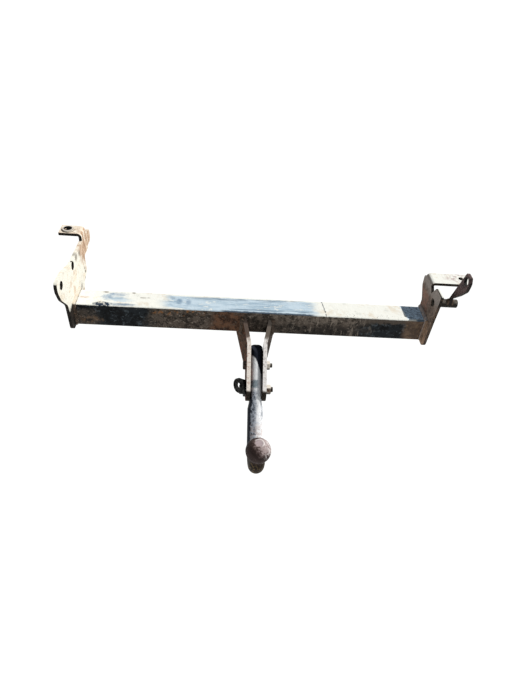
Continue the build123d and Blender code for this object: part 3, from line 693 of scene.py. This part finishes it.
# On the ball: radii of its rubbed top and of the painted highlight ring round that, and heights
# of the nub below it and of the forging flash. The neck starts behind it.
BALL_TOP_EDGE = (0.0060, 0.0085)
HIGHLIGHT_RING = (0.0080, 0.0105, 0.0010)
NUB_TOP = (-0.030, -0.022)
FLASH_BAND = (-0.0200, -0.0180, 0.0006)
BALL_ENDS = (0.024, 0.034)
# The painted shadow on the tongue starts at a curve. These are its line and how sharply it bends.
SHADOW_APEX_LINE = 0.016
SHADOW_CURVE = 100.0
# Turns a distance from the neck's middle into a share of its half width.
NECK_ACROSS = 70.0


def neck_finish():
    finish = Finish("neck_finish", 0.1)
    along = up_the_neck(finish)
    cloud = finish.noise(190, 6, 0.75, (1, 2, 0), (1, 0.8, 0.8))
    fine = finish.noise(420, 4, 0.7)
    across = (finish.x + finish.y * tan(NECK_YAW)) * NECK_ACROSS
    # The neck's right half is painted bright as the sun's highlight, and its left half darker as
    # shade.
    painted_highlight_side = (across + finish.ragged * 0.5).above(-0.15, 0.30)
    grain = cloud + (fine - 0.5) * 0.6
    shaded_half_steel = finish.mix(grain.above(0.44, 0.54), SILVER_BLUE, SILVER_DIM)
    shaded_half_steel = finish.mix(grain.below(0.39, 0.47) * 0.85, shaded_half_steel, NECK_DARK)
    highlight_half_steel = finish.mix(cloud.below(0.40, 0.46) * 0.6, SILVER, SILVER_DIM)
    steel = finish.mix(painted_highlight_side, shaded_half_steel, highlight_half_steel)
    far_right = finish.right.above(0.62, 0.80) * along.between(-0.060, -0.014, 0.008)
    steel = finish.mix(far_right * cloud.above(0.42, 0.52) * 0.8, steel, SILVER_BLUE)
    pits = finish.noise(340, 4, 0.75, (2, 6, 1)).above(0.56, 0.62) * finish.right.above(0.2, 0.6)
    steel = finish.mix(pits * along.below(-0.03, -0.01) * 0.7, steel, NECK_DARK)
    flat = along.above(*TONGUE_STARTS)
    # The tongue's face is painted near-white, and whiter on its right, as painted sunlight.
    face = finish.mix(cloud.above(0.50, 0.60) * 0.6, TONGUE_FACE, SILVER_DIM)
    face = finish.mix(across.above(-0.3, 0.2), face, SILVER)
    steel = finish.mix(flat * finish.right.above(-0.97, -0.85), steel, face)
    low = (along + finish.ragged * 0.03).below(*PINK_ENDS)
    rusty = finish.noise(150, 5, 0.72, (4, 4, 4)).above(0.46, 0.56)
    steel = finish.mix(low * rusty * 0.6, steel, NECK_PINK)
    # The far left side is painted blue-black, as painted shade.
    painted_shade_edge = (finish.right + finish.ragged * 0.5).below(-0.72, -0.50)
    steel = finish.mix(painted_shade_edge * (1 - flat), steel, NIGHT_BLUE)
    # Above a curve the tongue is painted blue-black as the shadow of the bar and the right cheek,
    # and its sides blue-black as shade between the cheeks.
    off_line = finish.x + SHADOW_APEX_LINE
    outside_painted_shadow = (along + finish.ragged * 0.008 + off_line * off_line * SHADOW_CURVE).below(*SHADOW_STARTS)
    side = finish.right.size().above(0.90, 0.99) * along.above(-0.03, -0.01)
    colour = finish.mix(outside_painted_shadow * (1 - side), NIGHT_BLUE, steel)
    teal = (along + finish.ragged * 0.004).between(*TEAL_BAND) * across.below(0.0, 0.5) * outside_painted_shadow
    colour = finish.mix(teal * (1 - side) * cloud.above(0.36, 0.46) * 0.85, colour, TEAL)
    # Faces turned down are painted blue-black, as painted shade.
    colour = finish.mix(finish.up.below(-0.45, -0.1), colour, NIGHT_BLUE)

    rust = finish.noise(90, 6, 0.75, (3, 1, 6))
    skin = finish.mix(rust.above(0.36, 0.60), MAUVE_DARK, MAUVE)
    # The ball's upper right is painted lighter and its lower left darker, as painted light and
    # shade.
    facing = finish.up * 0.85 + finish.right * 0.7 + (rust - 0.5) * 2.6 + (fine - 0.5) * 1.4
    skin = finish.mix(facing.above(0.60, 1.00) * 0.85, skin, MAUVE_LIGHT)
    skin = finish.mix(facing.below(0.20, 0.62) * 0.8, skin, MAUVE_DARK)
    # Flecks on the right flank are painted as highlights.
    highlight_flecks = finish.noise(230, 5, 0.75, (8, 0, 2), (1, 1, 0.4)).above(0.50, 0.57)
    rubbed = finish.right.above(0.25, 0.75) * finish.up.above(-0.2, 0.2)
    skin = finish.mix(highlight_flecks * rubbed * 0.9, skin, BALL_HIGHLIGHT)
    settings = {"operation": "LENGTH"}
    flat_place = finish.moved((0, 0, 0), (1, 1, 0))
    out = finish.node("ShaderNodeVectorMath", settings, {0: flat_place}, "Value")
    ball_top = (out + finish.ragged * 0.003).below(*BALL_TOP_EDGE) * finish.z.above(0.02, 0.022)
    skin = finish.mix(ball_top * 0.85, skin, BALL_TOP)
    skin = finish.mix(ball_top * cloud.above(0.48, 0.60) * 0.5, skin, MAUVE_LIGHT)
    # A ring round the top, on its right and back, is painted as a highlight.
    ring = (out + finish.ragged * 0.004).between(*HIGHLIGHT_RING)
    ring = ring * finish.z.above(0.018, 0.020) * (finish.x + finish.y).above(-0.006, 0.004)
    skin = finish.mix(ring * 0.8, skin, BALL_HIGHLIGHT)
    nub = finish.mix(finish.noise(210, 5, 0.75).above(0.53, 0.60), NUB, NUB_TAN)
    skin = finish.mix(finish.z.below(*NUB_TOP), skin, nub)
    flash = (finish.z + finish.ragged * 0.002).between(*FLASH_BAND)
    skin = finish.mix(flash * finish.y.below(-0.012, -0.006) * 0.7, skin, RIDGE_TAN)
    on_ball = finish.y.below(*BALL_ENDS)
    colour = finish.mix(on_ball, colour, skin)
    metal = (1 - on_ball) * outside_painted_shadow * 0.2
    relief = finish.noise(95, 6, 0.66) + fine * 0.45
    rough = 0.60 - metal * 0.5 + cloud * 0.1
    return finish.done(colour, rough, relief, 0.0012, metal)


wear("swan_neck", neck_finish())


# Bolts and nuts: ordinary hexagon bolts, their zinc long gone. They are dark brown with rust,
# and the nuts are pale with dust on top and orange where rust still grows. Faces that do not look
# up are painted darker as shade.
BOLT_DARK = seen(22, 18, 16, ON_BOLT)
BOLT_BROWN = seen(66, 52, 42, ON_BOLT)
BOLT_RUST = seen(132, 88, 56, ON_BOLT)
NUT_PALE = seen(246, 238, 226, ON_NUT)


def bolt_finish(name, dusty, rusty, reach):
    """Rusty fastener. Reach says how far a face must look up before dust lies on it."""
    finish = Finish(name, 0.12)
    colour = finish.mottle(BOLT_DARK, BOLT_BROWN, BOLT_RUST, 150, (1, 1, 5))
    glow = finish.noise(120, 4, 0.6, (6, 2, 2)).above(0.45, 0.6)
    colour = finish.mix(glow * rusty, colour, BOLT_RUST)
    looks_up = (finish.up + finish.ragged * 0.9).above(reach, reach + 0.24)
    colour = finish.mix(looks_up * dusty, colour, NUT_PALE)
    # Lower and side faces are painted darker, as painted shade.
    colour = finish.mix(finish.up.below(-0.3, 0.25) * 0.9, colour, BOLT_DARK)
    return finish.done(colour, 0.65, finish.noise(260, 5, 0.68), 0.0006)


# How far the cheeks' outer faces are from the neck's middle plane, and the room under the lower
# bolt's head for the eye's strap.
CHEEK_FACE = 0.0205
EYE_ROOM = 0.0056
UPPER_BOLT = {
    "thread": 0.010,
    "pitch": 0.0015,
    "flats": 0.016,
    "head": 0.0064,
    "head_face": -CHEEK_FACE,
    "tip": 0.034,
}
LOWER_BOLT = {
    "thread": 0.012,
    "pitch": 0.00175,
    "flats": 0.018,
    "head": 0.0075,
    "head_face": -CHEEK_FACE - EYE_ROOM,
    "tip": 0.036,
}
LOWER_BOLT_Y = BAR_Y - 0.1024
LOWER_BOLT_Z = BAR_Z - 0.1145
BOLT_SPACING = 0.050
THREAD_DEPTH = 0.613
THREAD_FLANK = 1.15
TIP_SLOPE = 1.2
FACETS = 48
TIP_CHAMFER = 0.001
RING_STEP = 0.0002


def bolt_mesh(name, middle, thread, pitch, flats, head, head_face, tip):
    """Hexagon bolt on an axis along X, turned with the neck, with a real helical thread."""
    corner = flats / 2 / cos(radians(30))
    root = THREAD_DEPTH * pitch

    def head_radius(x, angle):
        flat = flats / 2 / cos(angle % radians(60) - radians(30))
        cone = flats / 2 + (x - head_face + head) / tan(radians(30))
        return min(flat, corner, cone)

    def thread_radius(x, angle):
        turn = (x / pitch - angle / (2 * pi)) % 1
        ridge = thread / 2 - root * min(1, THREAD_FLANK * (1 - abs(2 * turn - 1)))
        if x < CHEEK_FACE:
            ridge = thread / 2
        return min(ridge, thread / 2 - TIP_CHAMFER + (tip - x) * TIP_SLOPE)

    chamfer = (corner - flats / 2) * tan(radians(30))
    rings = [(head_face - head + chamfer * step / 3, head_radius) for step in range(4)]
    rings += [(head_face, head_radius), (head_face, thread_radius), (CHEEK_FACE, thread_radius)]
    steps = int((tip - CHEEK_FACE) / RING_STEP)
    rings += [(CHEEK_FACE + RING_STEP * (step + 1), thread_radius) for step in range(steps)]
    points = []
    for x, radius in rings:
        for facet in range(FACETS):
            angle = 2 * pi * facet / FACETS
            reach = radius(x, angle)
            points.append((x, reach * cos(angle), reach * sin(angle)))
    faces = []
    for ring in range(len(rings) - 1):
        for facet in range(FACETS):
            beside = (facet + 1) % FACETS
            low, high = ring * FACETS, (ring + 1) * FACETS
            faces.append((low + facet, low + beside, high + beside, high + facet))
    last = (len(rings) - 1) * FACETS
    faces.append(tuple(reversed(range(FACETS))))
    faces.append(tuple(range(last, last + FACETS)))
    mesh = bpy.data.meshes.new(name)
    mesh.from_pydata(points, [], faces)
    mesh.transform(Matrix.Translation(middle) @ Matrix.Rotation(NECK_YAW, 4, "Z"))
    mesh.shade_smooth()
    mesh.set_sharp_from_angle(angle=radians(28))
    return mesh


def add_piece(mesh, material, body):
    """Puts a finished mesh into the scene as a piece of the towbar."""
    mesh.materials.clear()
    mesh.materials.append(material)
    piece = bpy.data.objects.new(mesh.name, mesh)
    bpy.context.scene.collection.objects.link(piece)
    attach(piece, body)
    return piece


bolt_dark = bolt_finish("bolt_finish", dusty=0.15, rusty=0.1, reach=0.42)
turned = Matrix.Rotation(NECK_YAW, 3, "Z")
upper_bolt_y = LOWER_BOLT_Y + BOLT_SPACING * RISE[0]
upper_bolt_z = LOWER_BOLT_Z + BOLT_SPACING * RISE[1]
lower_middle = turned @ Vector((0, LOWER_BOLT_Y, LOWER_BOLT_Z))
upper_middle = turned @ Vector((0, upper_bolt_y, upper_bolt_z))
upper_mesh = bolt_mesh("upper_bolt_threaded", upper_middle, **UPPER_BOLT)
lower_mesh = bolt_mesh("lower_bolt_threaded", lower_middle, **LOWER_BOLT)
for bolt_name, mesh in (("upper_bolt", upper_mesh), ("lower_bolt", lower_mesh)):
    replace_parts(add_piece(mesh, bolt_dark, "towbar"), bolt_name)
wear("upper_nut", bolt_finish("upper_nut_finish", dusty=0.95, rusty=0.3, reach=0.02))
wear("lower_nut", bolt_finish("lower_nut_finish", dusty=0.95, rusty=0.3, reach=0.38))


# Safety eye: flat steel strap with a ring end, cranked outward and held loosely under the head
# of the lower bolt, in nearly whole black paint.
EYE_BLACK = seen(6, 6, 6, ON_SMALL)
EYE_DARK = seen(20, 20, 20, ON_SMALL)
EYE_GREY = seen(56, 55, 53, ON_SMALL)

eye = Finish("eye_finish", 0.08)
eye_colour = eye.mottle(EYE_BLACK, EYE_DARK, EYE_GREY, 130, (2, 2, 2))
eye_chips = eye.noise(220, 4, 0.7, (5, 5, 5)).above(0.60, 0.68)
eye_colour = eye.mix(eye_chips * 0.5, eye_colour, BOLT_BROWN)
wear("safety_eye", eye.done(eye_colour, 0.55, eye.noise(200, 5, 0.65), 0.0006))


# Weld beads: run by hand with a stick electrode, each bead a row of small overlapping ripples.
# They rusted brown under paint. Dust covers those at the bar's left end and round the washer,
# and the one at the bar's right end lies in the shade of its plate, painted lighter and warmer
# there as painted light.
WELD_DARK = seen(44, 37, 32, ON_FRONT)
WELD_BROWN = seen(74, 63, 54, ON_FRONT)
WELD_RUST = seen(100, 76, 56, ON_FRONT)
WELD_WARM = seen(96, 78, 64, ON_FRONT)
WELD_WARM_MID = seen(124, 102, 84, ON_FRONT)
WELD_DUST = seen(246, 238, 222, ON_BEAD)
WELD_DUST_PALE = seen(248, 242, 228, ON_BEAD)
WELD_SHADED = seen(72, 68, 68, IN_SHADOW)
WELD_SHADED_MID = seen(92, 84, 80, IN_SHADOW)


def weld_finish(name, dusty, painted_for_shade):
    """Rusty weld, with the share of it that is dusty and the share painted lighter and warmer for
    the shade it lies in.
    """
    finish = Finish(name, 0.12)
    colour = finish.mottle(WELD_DARK, WELD_BROWN, WELD_RUST, 130, (2, 0, 1))
    warm = finish.mottle(WELD_WARM, WELD_WARM_MID, WELD_WARM, 110, (1, 6, 1))
    # Where the weld lies in shade it is painted lighter and warmer, as painted light.
    colour = finish.mix(painted_for_shade, colour, warm)
    shaded = finish.mottle(WELD_SHADED, WELD_SHADED_MID, WELD_SHADED, 160, (5, 0, 1))
    colour = finish.mix(finish.back.above(-0.6, -0.2) * painted_for_shade, colour, shaded)
    looks_up = (finish.up + finish.right * 0.5 + finish.ragged * 0.6).above(0.60, 0.85)
    dust = finish.mottle(DUST_TAN, WELD_DUST, WELD_DUST_PALE, 75, (3, 3, 0))
    colour = finish.mix(looks_up * dusty, colour, dust)
    return finish.done(colour, 0.75, finish.noise(240, 5, 0.68), 0.0007)


weld_brown = weld_finish("weld_finish", dusty=0.0, painted_for_shade=0.0)
weld_dusty = weld_finish("dusty_weld_finish", dusty=0.95, painted_for_shade=0.0)
weld_painted_for_shade = weld_finish("shade_painted_weld_finish", dusty=0.0, painted_for_shade=0.9)
for weld_name in ("left_cheek_weld", "right_cheek_weld", "tube_weld", "lug_weld"):
    wear(weld_name, weld_brown)
for weld_name in ("left_side_weld", "washer_weld"):
    wear(weld_name, weld_dusty)
wear("right_side_weld", weld_painted_for_shade)

RIPPLE_INPUTS = ("Spacing", "Width", "Thickness")
RIPPLE_JITTER = 0.00022
RIPPLE_SIZES = (0.88, 1.06)
# Spacing, width and thickness of the ripples in three sizes of bead.
LARGE_RIPPLES = (0.0024, 0.0054, 0.0019)
SMALL_RIPPLES = (0.0019, 0.0032, 0.0014)
FINE_RIPPLES = (0.0016, 0.0022, 0.0012)


def ripple_tree():
    """Ripples along a path: squashed beads in a row, each a little different from the next."""
    group = bpy.data.node_groups.new("weld_ripples", "GeometryNodeTree")
    group.interface.new_socket("Path", in_out="INPUT", socket_type="NodeSocketGeometry")
    for name in RIPPLE_INPUTS:
        group.interface.new_socket(name, in_out="INPUT", socket_type="NodeSocketFloat")
    group.interface.new_socket("Seed", in_out="INPUT", socket_type="NodeSocketInt")
    group.interface.new_socket("Finish", in_out="INPUT", socket_type="NodeSocketMaterial")
    group.interface.new_socket("Ripples", in_out="OUTPUT", socket_type="NodeSocketGeometry")
    tree = Tree(group)
    given = tree.node("NodeGroupInput", {}, {})
    seed = given.also("Seed")
    line = tree.node("GeometryNodeMeshToCurve", {}, {0: given.also("Path")})
    spaced = {"Curve": line, "Length": given.also("Spacing")}
    spots = tree.node("GeometryNodeCurveToPoints", {"mode": "LENGTH"}, spaced)
    low, high = (-RIPPLE_JITTER,) * 3, (RIPPLE_JITTER,) * 3
    nudge_inputs = {"Min": low, "Max": high, "Seed": seed}
    nudge = tree.node("FunctionNodeRandomValue", {"data_type": "FLOAT_VECTOR"}, nudge_inputs)
    nudged = tree.node("GeometryNodeSetPosition", {}, {0: spots, "Offset": nudge})
    width, thickness = given.also("Width"), given.also("Thickness")
    flat = tree.node("ShaderNodeCombineXYZ", {}, {0: width, 1: width, 2: thickness})
    vary_inputs = {2: RIPPLE_SIZES[0], 3: RIPPLE_SIZES[1], "Seed": seed + 1}
    vary = tree.node("FunctionNodeRandomValue", {"data_type": "FLOAT"}, vary_inputs, 1)
    scale = tree.node("ShaderNodeVectorMath", {"operation": "SCALE"}, {0: flat, "Scale": vary})
    bead = tree.node("GeometryNodeMeshIcoSphere", {}, {"Radius": 1.0, "Subdivisions": 2})
    row_inputs = {
        "Points": nudged,
        "Instance": bead,
        "Rotation": spots.also("Rotation"),
        "Scale": scale,
    }
    row = tree.node("GeometryNodeInstanceOnPoints", {}, row_inputs)
    plain = tree.node("GeometryNodeRealizeInstances", {}, {0: row})
    smooth = tree.node("GeometryNodeSetShadeSmooth", {}, {0: plain})
    painted_inputs = {0: smooth, "Material": given.also("Finish")}
    painted = tree.node("GeometryNodeSetMaterial", {}, painted_inputs)
    tree.node("NodeGroupOutput", {}, {0: painted})
    return group


ripples = ripple_tree()
ripple_sockets = {
    item.name: item.identifier for item in ripples.interface.items_tree if item.in_out == "INPUT"
}


def add_ripples(weld_name, points, size, material, seed, closed=False):
    """Row of ripples over a weld bead, along a line of points."""
    count = len(points)
    edges = [(first, (first + 1) % count) for first in range(count if closed else count - 1)]
    path_mesh = bpy.data.meshes.new(weld_name + "_path")
    path_mesh.from_pydata(points, edges, [])
    path_piece = bpy.data.objects.new(weld_name + "_path", path_mesh)
    bpy.context.scene.collection.objects.link(path_piece)
    modifier = path_piece.modifiers.new("ripples", "NODES")
    modifier.node_group = ripples
    for name, value in (*zip(RIPPLE_INPUTS, size), ("Seed", seed), ("Finish", material)):
        modifier[ripple_sockets[name]] = value
    depsgraph = bpy.context.evaluated_depsgraph_get()
    mesh = bpy.data.meshes.new_from_object(path_piece.evaluated_get(depsgraph))
    mesh.name = weld_name + "_ripples"
    bpy.data.objects.remove(path_piece)
    add_piece(mesh, material, "towbar")


def circle(middle, radius, across, upward, count=48):
    """Points of a circle in the plane of two directions."""
    turns = [2 * pi * step / count for step in range(count)]
    return [middle + (across * cos(turn) + upward * sin(turn)) * radius for turn in turns]


BEAD_END = 0.005
BEAD_TOP = 0.008
CHEEK_LEAN = radians(18.5)
CHEEK_BEND = 0.056
CHEEK_THICKNESS = 0.008
TONGUE_HALF = 0.0125
low_z, high_z = BAR_Z - BAR_HALF, BAR_Z + BAR_HALF
front_y, back_y = BAR_Y - BAR_HALF, BAR_Y + BAR_HALF

for side_name, face_x, material in (
    ("left_side_weld", bar_low.x, weld_dusty),
    ("right_side_weld", bar_high.x, weld_painted_for_shade),
):
    seam = (
        (face_x, front_y, low_z + BEAD_END),
        (face_x, front_y, high_z),
        (face_x, back_y, high_z),
        (face_x, back_y, low_z + BEAD_END),
    )
    add_ripples(side_name, seam, LARGE_RIPPLES, material, seed=3)


def cheek_outer(y):
    """Distance of a leaning cheek's outer face from the neck's middle plane."""
    straight = TONGUE_HALF + CHEEK_THICKNESS / cos(CHEEK_LEAN)
    return straight + (y - BAR_Y + CHEEK_BEND) * tan(CHEEK_LEAN)


for side_name, side in (("left_cheek_weld", -1), ("right_cheek_weld", 1)):
    seam = (
        (side * cheek_outer(front_y), front_y, BAR_Z + BEAD_TOP),
        (side * cheek_outer(front_y), front_y, low_z),
        (side * cheek_outer(back_y - BEAD_END), back_y - BEAD_END, low_z),
    )
    seam = [turned @ Vector(point) for point in seam]
    add_ripples(side_name, seam, LARGE_RIPPLES, weld_brown, seed=7 + side)

X_WAY, Y_WAY, Z_WAY = Vector((1, 0, 0)), Vector((0, 1, 0)), Vector((0, 0, 1))
PLATE_THICKNESS = 0.006
TUBE_BEAD_OUT = 0.001
TUBE_BEAD_ROUND = 0.0012
tube_seam_x = bar_high.x + PLATE_THICKNESS + TUBE_BEAD_OUT
tube_seam = Vector((tube_seam_x, tube_middle.y, tube_middle.z))
tube_circle = circle(tube_seam, (tube_high.z - tube_low.z) / 2 + TUBE_BEAD_ROUND, Y_WAY, Z_WAY)
add_ripples("tube_weld", tube_circle, SMALL_RIPPLES, weld_brown, seed=11, closed=True)
washer_seam = Vector((washer_middle.x, washer_middle.y, washer_low.z))
washer_circle = circle(washer_seam, (washer_high.x - washer_low.x) / 2, X_WAY, Y_WAY)
add_ripples("washer_weld", washer_circle, FINE_RIPPLES, weld_dusty, seed=13, closed=True)


# Plain studio round the part: a pale floor, far enough below that no shadow of it is in view.
FLOOR_HALF = 40.0
FLOOR_Z = -1.4
floor_mesh = bpy.data.meshes.new("studio_floor")
floor_corners = [
    (side_x * FLOOR_HALF, side_y * FLOOR_HALF, FLOOR_Z)
    for side_x, side_y in ((-1, -1), (1, -1), (1, 1), (-1, 1))
]
floor_mesh.from_pydata(floor_corners, [], [(0, 1, 2, 3)])
floor = bpy.data.objects.new("studio_floor", floor_mesh)
bpy.context.scene.collection.objects.link(floor)
FLOOR_DIM = (0.80, 0.80, 0.80, 1)
FLOOR_WHITE = (0.82, 0.82, 0.82, 1)
ground = Finish("floor_white", 0.0)
ground_colour = ground.mix(ground.noise(3, 2), FLOOR_DIM, FLOOR_WHITE)
floor_mesh.materials.append(ground.done(ground_colour, 0.9, ground.noise(20, 2), 0.0001))

# Light: one strong lamp high behind the part's right end, where the sun stood, and an even
# pale surround that fills the shaded sides.
SUN_TOWARDS = Vector((0.541, 0.285, 0.792))
SUN_STRENGTH = 4.2
SUN_COLOUR = (1.0, 0.99, 0.965)
SKY_STRENGTH = 0.30
SKY_COLOUR = (0.88, 0.95, 1.0, 1.0)
sun_data = bpy.data.lights.new("key_light", "SUN")
sun_data.energy = SUN_STRENGTH
sun_data.angle = radians(1.2)
sun_data.color = SUN_COLOUR
sun = bpy.data.objects.new("key_light", sun_data)
sun.rotation_euler = SUN_TOWARDS.to_track_quat("Z", "Y").to_euler()
bpy.context.scene.collection.objects.link(sun)

world = bpy.data.worlds.new("surround")
world.use_nodes = True
surround = world.node_tree.nodes["Background"]
surround.inputs["Color"].default_value = SKY_COLOUR
surround.inputs["Strength"].default_value = SKY_STRENGTH
bpy.context.scene.world = world
bpy.context.scene.view_settings.view_transform = "Standard"

# Camera: where the photographer stood, above and behind the ball, as fitted to the photograph.
CAMERA_PLACE = Vector((-0.0782, -0.6195, 0.8050))
ELEVATION = radians(41.2035)
AZIMUTH = radians(6.0)
ROLL = radians(6.4677)
FOCAL_PIXELS = 520.0
PHOTO_HEIGHT = 699.0
SENSOR = 36.0

level = cos(ELEVATION)
ahead = Vector((sin(AZIMUTH) * level, cos(AZIMUTH) * level, -sin(ELEVATION)))
level_right = Vector((cos(AZIMUTH), -sin(AZIMUTH), 0.0))
level_up = level_right.cross(ahead)
right = level_right * cos(ROLL) + level_up * sin(ROLL)
upward = level_up * cos(ROLL) - level_right * sin(ROLL)
camera_data = bpy.data.cameras.new("camera")
camera_data.sensor_fit = "VERTICAL"
camera_data.sensor_height = SENSOR
camera_data.lens = SENSOR * FOCAL_PIXELS / PHOTO_HEIGHT
camera_data.clip_end = 200.0
camera = bpy.data.objects.new("camera", camera_data)
camera_turn = Matrix((right, upward, -ahead)).transposed().to_4x4()
camera.matrix_world = Matrix.Translation(CAMERA_PLACE) @ camera_turn
bpy.context.scene.collection.objects.link(camera)
bpy.context.scene.camera = camera
